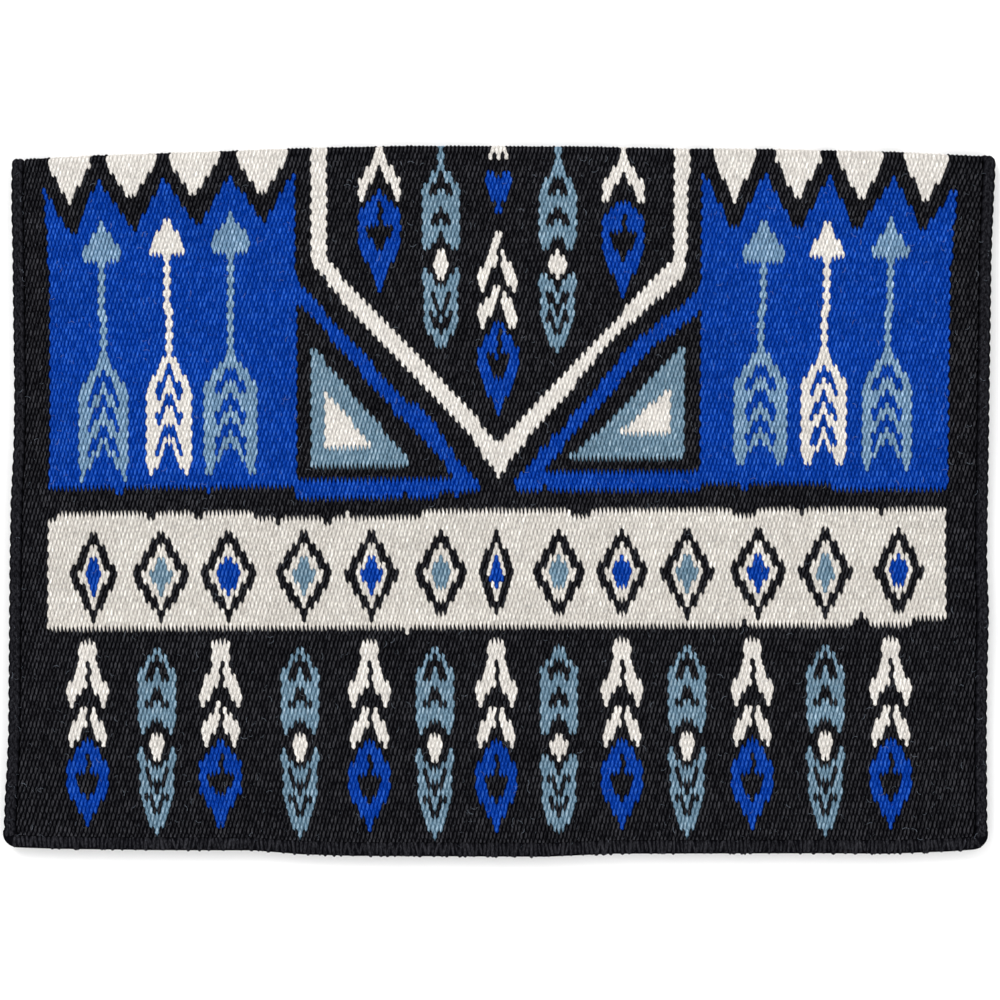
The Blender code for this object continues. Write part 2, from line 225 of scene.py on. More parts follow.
def ranged(tree, value, ends, **settings):
    """A value carried over from one range to another."""
    return put(tree, "ShaderNodeMapRange", {"Value": value, **ends}, **settings).outputs[0]


def chance(tree, inputs, kind="FLOAT"):
    """A random number or vector for each element."""
    made = put(tree, "FunctionNodeRandomValue", inputs, data_type=kind)
    return made.outputs[1 if kind == "FLOAT" else 0]


def vector(tree, parts):
    """A vector from its parts, the left out ones 0."""
    return put(tree, "ShaderNodeCombineXYZ", parts).outputs[0]


def carried(tree, name, kind="FLOAT"):
    """A number that the mesh brings along."""
    return put(tree, "GeometryNodeInputNamedAttribute", {"Name": name}, data_type=kind).outputs["Attribute"]


def marked(tree, geometry, name, value, domain="POINT"):
    """Geometry that carries a number for its material or for later nodes."""
    return put(tree, "GeometryNodeStoreNamedAttribute", {"Geometry": geometry, "Name": name, "Value": value},
               data_type="FLOAT", domain=domain).outputs["Geometry"]


def dress(tree, geometry, given, result):
    """The end of a tree: one plain mesh in its wool."""
    plain = put(tree, "GeometryNodeRealizeInstances", {"Geometry": geometry}).outputs[0]
    dressed = put(tree, "GeometryNodeSetMaterial", {"Geometry": plain, "Material": given["Wool"]}).outputs[0]
    tree.links.new(dressed, result.inputs[0])
    return tree


def raised_floats():
    """Geometry nodes: the crests of a patch's floats rise out of both faces of the cloth, each by its own height."""
    tree, given, result = node_group(
        "raised_floats", "GeometryNodeTree",
        [("Cloth", "NodeSocketGeometry", None), ("Relief", "NodeSocketFloat", RELIEF),
         ("Unevenness", "NodeSocketFloat", 0.45), ("Seed", "NodeSocketInt", 7), ("Wool", "NodeSocketMaterial", None)],
        [("Cloth", "NodeSocketGeometry")])
    number = carried(tree, "number", "INT")
    rise = carried(tree, "crest")
    side = carried(tree, "side")
    cell = carried(tree, "cell", "INT")
    tone = chance(tree, {"ID": cell, "Seed": given["Seed"]})
    toned = marked(tree, given["Cloth"], "tone", tone, "FACE")
    uneven = chance(tree, {"ID": number, "Seed": given["Seed"]})
    loss = maths(tree, "MULTIPLY", uneven, given["Unevenness"])
    share = maths(tree, "SUBTRACT", 1.0, loss)
    full = maths(tree, "MULTIPLY", share, given["Relief"])
    own = maths(tree, "MULTIPLY", full, rise)
    height = maths(tree, "MULTIPLY", own, side)
    offset = vector(tree, {2: height})
    raised = put(tree, "GeometryNodeSetPosition", {"Geometry": toned, "Offset": offset}).outputs[0]
    return dress(tree, raised, given, result)


def added(name, data):
    """A new object of the scene."""
    thing = bpy.data.objects.new(name, data)
    bpy.context.scene.collection.objects.link(thing)
    return thing


def grown(start, tree, values, name):
    """The plain mesh that a tree of geometry nodes makes of a mesh."""
    base = added("start", start)
    changed = base.modifiers.new("growth", "NODES")
    changed.node_group = tree
    for item in tree.interface.items_tree:
        if item.in_out == "INPUT" and item.name in values:
            changed[item.identifier] = values[item.name]
    bpy.context.view_layer.update()
    seen = base.evaluated_get(bpy.context.evaluated_depsgraph_get())
    mesh = bpy.data.meshes.new_from_object(seen, depsgraph=bpy.context.evaluated_depsgraph_get())
    base.modifiers.remove(changed)
    bpy.data.objects.remove(base)
    mesh.name = name
    return mesh


def lay(mesh, leaf):
    """Lays a mesh of flat cloth as its leaf lies. The off leaf is a mirror image, so its faces turn round."""
    flat = np.empty(len(mesh.vertices) * 3)
    mesh.vertices.foreach_get("co", flat)
    mesh.vertices.foreach_set("co", drape(leaf, flat.reshape(-1, 3)).ravel())
    if leaf == "off":
        mesh.flip_normals()


def flat_patch(name, cells, lean):
    """A closed slab of flat cloth made of the given floats. On the outer face each float swells against its
    neighbours, full at the middle and needle thin at the ends; the inner face has plain rhombs."""
    ids, spots, side, crest, number, faces, cell_of = {}, [], [], [], [], [], []
    mine = np.pad(cells, ((0, 1), (0, 5)))       # an index below 0 falls on the margin too

    def spot(key, inner, row, column, rise, owner):
        if (key, inner) not in ids:
            ids[key, inner] = len(spots)
            spots.append((row, column))
            side.append(-1.0 if inner else 1.0)
            crest.append(rise)
            number.append(owner)
        return ids[key, inner]

    def thin(row, column, away):
        """Whether a line of floats that ends here is only one or two floats wide."""
        own = mine[row, column]
        if mine[row, column - 2 * away] == own:
            return False
        return not mine[row, column + 2 * away] == mine[row, column + 4 * away] == own

    def joint_shape(upper, step):
        """Where along a joint each float bulges, and how far the upper and the lower one do. Floats of one
        colour bulge into each other; where colours meet they are blunt, fingers in a level join, and fat
        where a line is thin."""
        r, c = upper
        above, below = mine[r, c + step], mine[r + 1, c]
        if above == below:
            return SAME_COLOUR
        over, under = mine[r, c - step], mine[r + 1, c + 2 * step]
        if over and not under if above else under and not over:
            return LEVEL_JOIN
        thin_above, thin_below = thin(r, c + step, step), thin(r + 1, c, -step)
        return (BLUNT_START, FAT if thin_above and not thin_below else BLUNT,
                FAT if thin_below and not thin_above else BLUNT)

    def tip(corner, inner):
        """A corner of the rhombs; a float between two of another colour ends short of it."""
        r, c = corner
        above, below = mine[r - 1, c] if r else mine[1, c], mine[r + 1, c] if r < LAST_ROW else mine[r - 1, c]
        left, right = mine[r, c - 1], mine[r, c + 1]
        shift = 0.0
        if left == right and above != below and 0 < r < LAST_ROW:
            row, odd = (r + 1, below) if above == left else (r - 1, above)
            if not mine[row, c - 2] == mine[row, c + 2] == odd:
                shift = SHORT_TIP if above == left else -SHORT_TIP
        return spot(corner, inner, r + shift, c, 0.0, 0)

    edges = {}
    sides = ((0, -1), (1, 0), (0, 1), (-1, 0))
    for k, j in zip(*(axis.tolist() for axis in np.nonzero(cells))):
        owner = k * 1000 + j
        corner = [(k + dk, j + dj) for dk, dj in sides]
        there = [0 <= a <= LAST_ROW and 0 <= b <= 2 * HALF_FLOATS for a, b in corner]
        if sum(there) < 3:
            continue
        for inner in (False, True):
            tilt = CREST_LEAN * lean * (-1 if inner else 1)
            tops = []
            peak = ((0, -CREST_WIDTH), (CREST_LENGTH, -tilt), (0, CREST_WIDTH), (-CREST_LENGTH, tilt))
            for n, (dk, dj) in enumerate(peak):
                place = (min(max(k + dk, 0), LAST_ROW), min(max(j + dj, 0), 2 * HALF_FLOATS))
                tops.append(spot((k, j, n), inner, *place, 1.0, owner))
            made = [tops]
            for n in range(4):
                m = (n + 1) % 4
                if not there[n]:
                    continue
                if not there[m]:
                    far = (m + 1) % 4
                    ends = [tip(corner[c], inner) for c in (n, far)]
                    made.append([ends[0], ends[1], tops[far], tops[m], tops[n]])
                    edges.setdefault((inner, "end", k, j), [ends[0], ends[1]])
                    continue
                first, last = (tip(corner[c], inner) for c in (n, m))
                upper, lower = sorted((corner[n], corner[m]))
                falling = lower[1] > upper[1]
                key = (inner, upper, falling)
                if inner:
                    made.append([first, last, tops[m], tops[n]])
                    run = [first, last]
                else:
                    step = 1 if falling else -1
                    start, bulge_over, bulge_under = joint_shape(upper, step)
                    aside = FLOAT_LEAN * lean
                    near = spot((upper, falling, 0), inner, upper[0] + start,
                                upper[1] + step * (1 - bulge_over) - aside, BULGE_CREST, 1)
                    far = spot((upper, falling, 1), inner, upper[0] + 1 - start,
                               upper[1] + step * bulge_under + aside, BULGE_CREST, 1)
                    if corner[n] != upper:
                        near, far = far, near
                    made += [[first, near, tops[n]], [near, far, tops[m], tops[n]], [far, last, tops[m]]]
                    run = [first, near, far, last]
                if key in edges:
                    del edges[key]
                else:
                    edges[key] = run
            faces += [face[::-1] if inner else face for face in made]
            cell_of += [owner] * len(made)
    shown = len(faces)
    for key, run in edges.items():
        if not key[0]:
            faces.append(run[::-1] + edges[(True, *key[1:])][:1] + edges[(True, *key[1:])][-1:])
    cell_of += [0] * (len(faces) - shown)
    at = np.array(spots)
    side = np.array(side)
    row, column = at[:, 0], at[:, 1]
    low = np.floor(row).astype(int)
    share = row - low
    high = np.minimum(low + 1, LAST_ROW)
    nearest = np.clip(np.rint(column).astype(int), 0, 2 * HALF_FLOATS)
    shift_x = jitter_x[low, nearest] * (1 - share) + jitter_x[high, nearest] * share
    shift_s = jitter_s[low, nearest] * (1 - share) + jitter_s[high, nearest] * share
    shift_x = np.where(abs(column - HALF_FLOATS) == HALF_FLOATS, 0, shift_x)
    shift_s = np.where((row == 0) | (row == LAST_ROW), 0, shift_s)
    points = np.column_stack([(column - HALF_FLOATS) * HALF_PITCH + shift_x, -row_length(row) - shift_s,
                              side * (HALF_CLOTH - RELIEF)])
    mesh = bpy.data.meshes.new(name)
    mesh.from_pydata(points.tolist(), [], faces)
    # The crest share sets each point's height and, in the wool, its painted valley shade and painted crest highlight.
    for label, kind, domain, values in (("crest", "FLOAT", "POINT", crest), ("side", "FLOAT", "POINT", side),
                                        ("number", "INT", "POINT", number), ("cell", "INT", "FACE", cell_of)):
        mesh.attributes.new(label, kind, domain).data.foreach_set("value", values)
    return mesh


def wool_look():
    """Shader group: the yarn's colour on the sides of each float, with painted shade in the valleys
    between floats and a painted highlight on their crests, with fibres and dye lots."""
    tree, given, result = node_group(
        "wool_look", "ShaderNodeTree",
        [("Valley Shade", "NodeSocketColor", (0, 0, 0, 1)), ("Body", "NodeSocketColor", (0, 0, 0, 1)),
         ("Crest Highlight", "NodeSocketColor", (0, 0, 0, 1)), ("Fibre", "NodeSocketFloat", 0.35),
         ("Dye Unevenness", "NodeSocketFloat", 0.10)],
        [("Color", "NodeSocketColor"), ("Roughness", "NodeSocketFloat"), ("Height", "NodeSocketFloat")])
    place = put(tree, "ShaderNodeTexCoord").outputs["Object"]
    crest = put(tree, "ShaderNodeAttribute", attribute_name="crest").outputs["Fac"]
    tone = put(tree, "ShaderNodeAttribute", attribute_name="tone").outputs["Fac"]
    stretched = put(tree, "ShaderNodeMapping", {"Vector": place, "Rotation": (0, 0, -0.25),
                                                "Scale": (1.0, 0.42, 1.0)})
    fibre = put(tree, "ShaderNodeTexNoise", {"Vector": stretched.outputs[0], "Scale": 900.0, "Detail": 4.0,
                                             "Roughness": 0.65}).outputs[0]
    turned = put(tree, "ShaderNodeMapping", {"Vector": place, "Rotation": (0, 0, 0.9)})
    ply = put(tree, "ShaderNodeTexWave", {"Vector": turned.outputs[0], "Scale": 210.0, "Distortion": 2.0,
                                          "Detail": 1.0, "Detail Scale": 1.5}).outputs["Fac"]
    lots = put(tree, "ShaderNodeMapping", {"Vector": place, "Scale": (9.0, 55.0, 9.0)})
    dye = put(tree, "ShaderNodeTexNoise", {"Vector": lots.outputs[0], "Scale": 1.0, "Detail": 2.0}).outputs[0]
    # Painted shade: where the crest share is low, in the valleys between floats and round their tips, the colour goes
    # over to the darker valley tone.
    rise = ranged(tree, crest, {"From Min": 0.12, "From Max": 0.85}, interpolation_type="SMOOTHSTEP")
    body = put(tree, "ShaderNodeMix", {0: rise, 6: given["Valley Shade"], 7: given["Body"]}, data_type="RGBA").outputs[2]
    # Painted highlight: near the top of each float the colour goes over to the lighter crest tone, more on some
    # floats and fibres than on others.
    top = ranged(tree, crest, {"From Min": 0.5, "From Max": 1.0}, interpolation_type="SMOOTHSTEP")
    spread = ranged(tree, fibre, {"From Min": 0.38, "From Max": 0.66})
    strands = maths(tree, "MULTIPLY", spread, given["Fibre"])
    bright = maths(tree, "MULTIPLY", tone, tone)
    toned = maths(tree, "MULTIPLY_ADD", bright, 0.8, strands)
    both = maths(tree, "MULTIPLY", toned, top, use_clamp=True)
    crested = put(tree, "ShaderNodeMix", {0: both, 6: body, 7: given["Crest Highlight"]}, data_type="RGBA").outputs[2]
    centred = ranged(tree, dye, {"From Min": 0.3, "From Max": 0.7, "To Min": -1.0, "To Max": 1.0})
    swing = maths(tree, "MULTIPLY_ADD", centred, given["Dye Unevenness"], 1.0)
    plied = ranged(tree, ply, {"To Min": 0.87, "To Max": 1.07})
    speckle = ranged(tree, fibre, {"From Min": 0.34, "From Max": 0.66, "To Min": 0.66, "To Max": 1.32})
    dyed = maths(tree, "MULTIPLY", swing, plied)
    shade = maths(tree, "MULTIPLY", dyed, speckle)
    color = put(tree, "ShaderNodeVectorMath", {0: crested, "Scale": shade}, operation="SCALE").outputs[0]
    rough = ranged(tree, fibre, {"To Min": 0.72, "To Max": 0.95})
    height = maths(tree, "MULTIPLY_ADD", ply, 0.5, fibre)
    tree.links.new(color, result.inputs["Color"])
    tree.links.new(rough, result.inputs["Roughness"])
    tree.links.new(height, result.inputs["Height"])
    return tree


def wool(name, valley_shade, body, crest, fibre, dye, gloss):
    """A yarn's material: painted shade for its valleys, its own colour, and a painted highlight for its
    crests, how much its fibres show, how uneven its dye is, and its gloss.
    """
    material = bpy.data.materials.new(name)
    material.use_nodes = True
    tree = material.node_tree
    shader = tree.nodes["Principled BSDF"]
    look = tree.nodes.new("ShaderNodeGroup")
    look.node_tree = WOOL_LOOK
    for label, value in (("Valley Shade", (*valley_shade, 1)), ("Body", (*body, 1)), ("Crest Highlight", (*crest, 1)),
                         ("Fibre", fibre), ("Dye Unevenness", dye)):
        look.inputs[label].default_value = value
    tree.links.new(look.outputs["Color"], shader.inputs["Base Color"])
    tree.links.new(look.outputs["Roughness"], shader.inputs["Roughness"])
    bump = put(tree, "ShaderNodeBump", {"Height": look.outputs["Height"], "Strength": 0.35, "Distance": 0.0003})
    tree.links.new(bump.outputs["Normal"], shader.inputs["Normal"])
    shader.inputs["Specular IOR Level"].default_value = gloss
    return material


def fold_bend(piece, leaf):
    """A piece that turns round the spine has its placing baked into its mesh, the same on either leaf."""
    if leaf == "near":
        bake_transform(piece)
    else:
        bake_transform(piece)


def weave(name, cells, yarn, nodes=()):
    """A patch of one yarn on both leaves. Where it turns round the spine it is a piece for each strip of the fold."""
    parts = [(name, cells)]
    if cells[:TURN_ROWS].any():
        strip = np.searchsorted(FOLD_BREAKS, float_x)
        used = sorted(set(strip[cells]))
        if len(used) > 1:
            parts = [(f"{name}_{n + 1}", cells & (strip == each)) for n, each in enumerate(used)]
    for part, own in parts:
        for leaf in ("off", "near"):
            title = f"{leaf}_{part}"
            patch = flat_patch("loom", own, 1 if leaf == "near" else -1)
            mesh = grown(patch, RAISED_FLOATS, {"Wool": WOOLS[yarn]}, title)
            crosses = bool(own[:TURN_ROWS].any())
            if crosses:
                cut = bmesh.new()
                cut.from_mesh(mesh)
                for n in range(1, TURN_CUTS + 1):
                    bmesh.ops.bisect_plane(cut, geom=cut.verts[:] + cut.edges[:] + cut.faces[:], dist=1e-7,
                                           plane_co=(0, -ROLL_ARC * n / TURN_CUTS, 0), plane_no=(0, 1, 0))
                cut.to_mesh(mesh)
                cut.free()
            flat = np.empty(len(mesh.vertices) * 3)
            mesh.vertices.foreach_get("co", flat)
            picked = np.empty(len(mesh.loops), int)
            mesh.loops.foreach_get("vertex_index", picked)
            at = flat.reshape(-1, 3)[picked]
            sheet_uv = np.column_stack([at[:, 0] / UV_WIDTH + 0.5,
                                        np.where(at[:, 2] > 0, 0, 0.5) - at[:, 1] / UV_LENGTH])
            mesh.uv_layers.new(name="OFBake").data.foreach_set("uv", sheet_uv.ravel())
            lay(mesh, leaf)
            mesh.shade_smooth()
            mesh.set_sharp_from_angle(angle=SHARP_ANGLE)
            piece = added(title, mesh)
            if nodes:
                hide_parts(*[f"{leaf}_{node}" for node in nodes])
            if crosses:
                fold_bend(piece, leaf)
            else:
                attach(piece, f"{leaf}_side")


RAISED_FLOATS = raised_floats()
WOOL_LOOK = wool_look()
# Tones of each wool: painted valley shade, the yarn's own colour, painted crest highlight.
WOOLS = {"natural": wool("natural_wool_weft", (0.44, 0.415, 0.385), (0.66, 0.627, 0.585), (0.83, 0.80, 0.76),
                         0.35, 0.05, 0.05)}

TEETH = {"front": ((-429.5, 22, 50.6), (-367.5, 26, 48.8), (-304.5, 26, 47.4), (-236.5, 26, 48)),
         "rear": ((427.5, 22.5, 53.5), (362.5, 24, 53.2), (299.5, 24, 53.3), (236.5, 22, 54.8))}
for end, teeth in TEETH.items():
    for number, (column, half, tip) in enumerate(teeth, 1):
        cells = figure(column, 0, [(half - 2, -2), (half, 10), (0, tip)])
        weave(f"white_tooth_{end}_{number}", claim(cells), "natural", [f"ridge_tooth_{end}_{number}"])

# ---------------------------------------------------------------------------------------------
# Arrows: three in each blue field, steel, white and steel. Dyed or natural wool weft; the head
# ends in a row of separate floats, the shaft is one and two floats wide by turns, which looks
# beaded, and the fletching is an outline with slanting bars and the blue ground between them.

# Tones: painted valley shade, the yarn's own colour, painted crest highlight.
WOOLS["steel_arrow"] = wool("steel_wool_arrow_weft", (0.040, 0.092, 0.158), (0.142, 0.254, 0.390),
                            (0.335, 0.475, 0.64), 0.45, 0.07, 0.05)

ARROWS = {"front": (("outer", -398, -395, 72.4, 108.5, 18, 209, 330, 25.5),
                    ("middle", -331, -330, 70.8, 106, 17.5, 205.4, 329, 22.5),
                    ("inner", -269, -268, 67.5, 101.5, 19.5, 205, 329, 26.5)),
          "rear": (("outer", 393.7, 390.3, 73.8, 113, 19, 205, 326, 25.5),
                   ("middle", 330, 327.6, 76, 113, 17.5, 206, 326, 22.5),
                   ("inner", 266.5, 263.4, 75.5, 115.5, 20, 203.5, 326, 26.5))}


def snapped(column):
    """The nearest column of float middles to a column of the drawing."""
    return round(column * SQUARE / HALF_PITCH) * HALF_PITCH / SQUARE


for end, arrows in ARROWS.items():
    # Columns of head and tail, rows of tip and base, half width of the head, rows and half width of the fletching.
    for place, head, tail, tip, base, half, fletch, foot, wide in arrows:
        head, tail = snapped(head), snapped(tail)
        cells = figure(head, 0, [(0, tip - 3), (half, base - 11), (half, base)])
        shaft = [(head - 3.1, base), (head + 3.1, base), (tail + 3.1, fletch + 8), (tail - 3.1, fletch + 8)]
        cells |= within(shaft)
        vane = [(0, fletch - 4), (4, fletch), (wide, fletch + 33), (wide - 0.5, foot - 18), (wide - 3.5, foot + 1),
                (0, fletch + 88)]
        cells |= figure(tail, 0, vane)
        for top in (10, 37, 63.5):
            upper, reach = fletch + top, min(wide - 9.5, 15.5)
            cells &= ~figure(tail, 0, [(0, upper), (reach, upper + 25), (reach, upper + 38), (0, upper + 13)])
        yarn = "natural" if place == "middle" else "steel_arrow"
        weave(f"arrow_weft_{end}_{place}", claim(cells), yarn, [f"arrow_{end}_{place}"])

# ---------------------------------------------------------------------------------------------
# Corner figures under the chevron: a white triangle in a steel one in a black frame, each inlaid
# in the next. Wool weft; the slanting sides step over by one float a row.

# Tones: painted valley shade, the yarn's own colour, painted crest highlight.
WOOLS["steel"] = wool("steel_wool_weft", (0.035, 0.078, 0.115), (0.125, 0.215, 0.292), (0.30, 0.41, 0.50),
                      0.45, 0.07, 0.05)
# Tones: painted valley shade, the yarn's own colour, painted crest highlight.
WOOLS["black"] = wool("black_wool_weft", (0.0008, 0.0008, 0.0013), (0.0046, 0.0046, 0.0060), (0.035, 0.035, 0.040),
                      0.80, 0.14, 0.0)

CORNERS = {"front": ([(-174.5, 241), (-174.5, 300), (-126, 300)],
                     [(-188, 196), (-188, 320.5), (-84, 320.5)],
                     [(-202.5, 153), (-202.5, 331.5), (-46, 331.5), (-53.5, 317), (-78.5, 290), (-103.5, 266),
                      (-128.5, 237), (-153.5, 207)]),
           "rear": ([(174, 240), (174, 291), (118, 291)],
                    [(188, 195), (188, 313), (70, 313), (81.5, 302), (106.5, 281)],
                    [(203.5, 166), (203.5, 326), (46, 326), (56.5, 312), (81.5, 283), (106.5, 256), (131.5, 227),
                     (156.5, 201), (181.5, 183)])}
LAYERS = (("white", "natural", "core"), ("steel", "steel", "triangle"), ("black", "black", "frame"))
for end, outlines in CORNERS.items():
    for outline, (colour, yarn, node) in zip(outlines, LAYERS):
        weave(f"corner_{colour}_{end}", claim(within(outline)), yarn, [f"corner_{node}_{end}"])

# ---------------------------------------------------------------------------------------------
# Blue fields: the ground of the arrows, with a toothed top and a stripe that slants in under the
# chevron to the middle. Royal blue wool weft; vertical edges lock in scallops on one warp.

# Tones: painted valley shade, the yarn's own colour, painted crest highlight.
WOOLS["royal"] = wool("royal_wool_weft", (0.0002, 0.014, 0.170), (0.0010, 0.033, 0.275), (0.020, 0.094, 0.45),
                      0.60, 0.10, 0.0)

FIELDS = {"front": [(-457, 34), (-425.8, 84.9), (-400.5, 26.5), (-364.5, 81), (-334.5, 27.4), (-301, 77.6),
                    (-269.5, 26.5), (-234.8, 73), (-204.5, 25.5), (-203.5, 26), (-202.5, 133), (-153.5, 186.5),
                    (-103.5, 243), (-78.5, 264.5), (-53.5, 291), (-28.5, 327), (-17.5, 337),
                    (-17.5, 345), (-60, 345), (-60, 350.5), (-204, 350.5), (-204, 339.5), (-452.5, 339.5),
                    (-451, 140)],
          "rear": [(456.5, 32), (425.5, 82.8), (395.5, 26.4), (358.5, 85.3), (331.5, 27.7), (299.5, 85.4),
                   (266.5, 27), (236.5, 86.7), (207.5, 29), (203.5, 30), (203.5, 142), (181.5, 162), (156.5, 179.5),
                   (131.5, 201.5), (106.5, 233), (81.5, 264), (56.5, 291), (31.5, 321), (16, 337), (16, 345),
                   (192, 345), (192, 339.5), (335, 339.5), (335, 345), (452.5, 345), (451.5, 140)]}
SLIP, SLIP_ROWS, SLIP_COLUMNS, SLIP_FROM = 0.0017, 10, 5, 40         # how the level joins stray from their row
slips = beat.normal(0, SLIP, (LAST_ROW // SLIP_ROWS + 1, 2 * HALF_FLOATS // SLIP_COLUMNS + 2))
slip_columns = np.arange(slips.shape[1]) * SLIP_COLUMNS - HALF_FLOATS
slipped = float_depth + np.array([np.interp(columns[0], slip_columns, slips[row // SLIP_ROWS]) * (row > SLIP_FROM)
                                  for row in range(LAST_ROW + 1)])
for end, outline in FIELDS.items():
    weave(f"blue_field_{end}", claim(within(outline, slipped)), "royal", [f"arrow_field_{end}"])

# ---------------------------------------------------------------------------------------------
# Feathers of the yoke: white plumes with blue tips and steel quills with a white eye, on the
# black ground between the arms of the chevron. Wool weft, some ending on the fold itself.

YOKE_PLUMES = {"front": (-119.5, 0), "rear": (126, 8)}


def slit(column, top, bottom):
    """A line one float wide, down the middle of a feather."""
    return within([(column - 0.7, top), (column + 2.7, top), (column + 2.7, bottom), (column - 0.7, bottom)])


for end, (column, drop) in YOKE_PLUMES.items():
    column = snapped(column)
    heart = figure(column, drop, [(0, 84), (5, 78), (12.5, 79), (12.5, 88), (6, 98), (0, 107)])
    tip = figure(column, drop, [(0, 47), (8, 53), (18, 62), (21.5, 73), (21.5, 99), (16, 110), (7, 126), (0, 147)])
    weave(f"yoke_plume_tip_{end}", claim(tip & ~heart & ~slit(column, drop + 58, drop + 84)), "royal")
    drop /= 2
    stem = figure(column, 0, [(4.5, -3), (3, 6), (2.8, 16 + 2 * drop)])
    wing = figure(column, drop, [(0, 8), (4, 12), (21, 35), (21.5, 46), (20, 56), (16, 54), (9, 39), (0, 27)])
    weave(f"yoke_plume_{end}", claim((stem | wing) & ~slit(column, drop + 22, drop + 34)), "natural")


def quill(column, top, stem):
    """Steel floats of a quill and the floats of its white eye."""
    column = snapped(column)
    head = figure(column, top, [(0, -3), (4, 1), (18, 22), (18, 78), (16, 82), (11, 82), (0, 66)])
    tail = figure(column, top, [(0, 124), (11, 107), (16, 101), (18, 104), (17.5, 150), (7, 177), (0, 184)])
    for mark in ([(0, 7), (10.5, 21), (10.5, 31), (6, 30), (0, 20)],
                 [(0, 39), (10.5, 52), (10.5, 61), (6, 61), (0, 51)],
                 [(0, 140), (6, 126), (10.5, 121), (10.5, 131), (0, 149)],
                 [(0, 158), (6, 147), (10.5, 143), (10.5, 152), (0, 167)]):
        cut = figure(column, top, mark)
        head &= ~cut
        tail &= ~cut
    if stem is not None:
        head |= figure(column, 0, [(3, stem), (3, top + 4)])
    return head | tail, figure(column, top, [(0, 83), (6, 89), (9.2, 96), (6, 105), (0, 112)])


for end, column, top in (("front", -57, 22), ("rear", 60, 22)):
    steel, eye = quill(column, top, -3)
    weave(f"yoke_quill_eye_{end}", claim(eye), "natural")
    weave(f"yoke_quill_{end}", claim(steel), "steel")

middle = snapped(0)
foot = figure(middle, 0, [(6.5, -3), (6.5, 11)])
for prong in (-6, 0, 6):
    foot |= figure(middle + prong, 0, [(2, 8), (2, 16)])
weave("yoke_foot", claim(foot), "natural")
heart = figure(middle, 0, [(0, 34), (5, 29), (11, 29), (13.5, 35), (12, 44), (7, 55), (2.5, 61), (2.5, 68)])
weave("yoke_heart", claim(heart), "royal")
wing = figure(middle - 1, 80, [(0, 5), (2.5, 7), (6, 22), (12, 36), (19, 47), (19.5, 56), (17, 66), (13, 62), (5, 45),
                               (0, 39)])
vane = figure(middle - 1, 80, [(0, 62), (3, 61), (19.5, 85), (19.5, 93), (17, 103), (13, 101), (5, 84), (0, 76)])
slits = slit(middle, 100, 125) | slit(middle, 146, 168)
weave("yoke_middle_plume", claim((wing | vane) & ~slits), "natural")
tip = figure(middle, 172, [(0, 2), (5, 6), (12, 19), (20, 31), (20.5, 54), (13, 71), (4, 88), (0, 98)])
heart = figure(middle, 172, [(0, 43), (5, 37), (10.5, 38), (10.5, 47), (6, 57), (0, 66)])
weave("yoke_middle_tip", claim(tip & ~heart & ~slit(middle, 184, 214)), "royal")

# ---------------------------------------------------------------------------------------------
# Chevron: a white line that runs straight down from the fold on each side, then slants to a
# point in the middle. Natural wool weft; each arm turns round the spine at its own place.

ARMS = {"front": [(-187, -3), (-171.7, -3), (-172.5, 112), (-153.5, 133.5), (-103.5, 187), (-53.5, 235.5),
                  (-28.5, 264.5), (0, 298), (0, 332), (-8.5, 318.5), (-28.5, 290), (-53.5, 262), (-103.5, 211.5),
                  (-153.5, 157.5), (-187, 116)],
        "rear": [(191.5, -3), (175.5, -3), (174.8, 113), (0, 298), (0, 332), (11.5, 314), (31.5, 291), (56.5, 264),
                 (81.5, 234.5), (106.5, 204), (131.5, 179), (156.5, 157), (181.5, 136), (188, 130)]}
for end, outline in ARMS.items():
    half_cloth = (columns < 0) == (end == "front")
    weave(f"chevron_arm_{end}", claim(within(outline) & half_cloth), "natural", ["chevron"])

# ---------------------------------------------------------------------------------------------
# Yoke ground: the black cloth between the chevron's arms, which the feathers are inlaid in.
# Black wool weft, a piece for each strip of the fold, because it turns round the spine.

yoke = within([(-171.5, -3), (175.5, -3), (175.5, 118), (0, 305), (-171.5, 122)])
weave("yoke_ground", claim(yoke), "black", ["yoke_field"])

# ---------------------------------------------------------------------------------------------
# Diamond band: thirteen black-ringed diamonds on white, their middles blue and steel by turns.
# Wool weft; above and below the white interlocks with the black in a row of fine points.

DIAMONDS = ((-405.5, 23, 8), (-337.5, 27.5, 10), (-269.5, 27.5, 12), (-195.5, 27, 10), (-126.5, 26, 10.5),
            (-57.5, 26, 10), (-1.5, 17, 6.5), (60.6, 25, 9.5), (125.1, 26, 10), (190.5, 26, 10), (262.8, 27, 10.5),
            (330.1, 26, 9.5), (402.4, 24, 9))
BAND_MIDDLE = 426.5
rings, kept = (np.zeros(columns.shape, bool) for _ in range(2))       # kept white is left round each diamond
cores = {"royal": rings.copy(), "steel": rings.copy()}
for number, (column, half, core) in enumerate(DIAMONDS):
    column = snapped(column)
    outside = figure(column, BAND_MIDDLE, [(0, -46), (half, -4), (half, 4), (0, 46)])
    inside = figure(column, BAND_MIDDLE, [(0, -32), (half - 9, -2), (half - 9, 2), (0, 32)])
    rings |= outside & ~inside
    kept |= figure(column, BAND_MIDDLE, [(12, -52), (12, 52)])
    yarn = "steel" if number % 2 else "royal"
    cores[yarn] |= figure(column, BAND_MIDDLE, [(0, -20), (core, -4), (core, 4), (0, 20)])
for yarn, cells in cores.items():
    weave(f"diamond_middles_{yarn}", claim(cells), yarn)
weave("diamond_rings", claim(rings), "black")
band = within([(-452.5, 364.5), (-243, 364.5), (-243, 370), (-78, 370), (-78, 365.5), (450, 364.5), (450, 476),
               (330, 476.5), (300, 479.5), (-452.5, 479.5)], slipped)
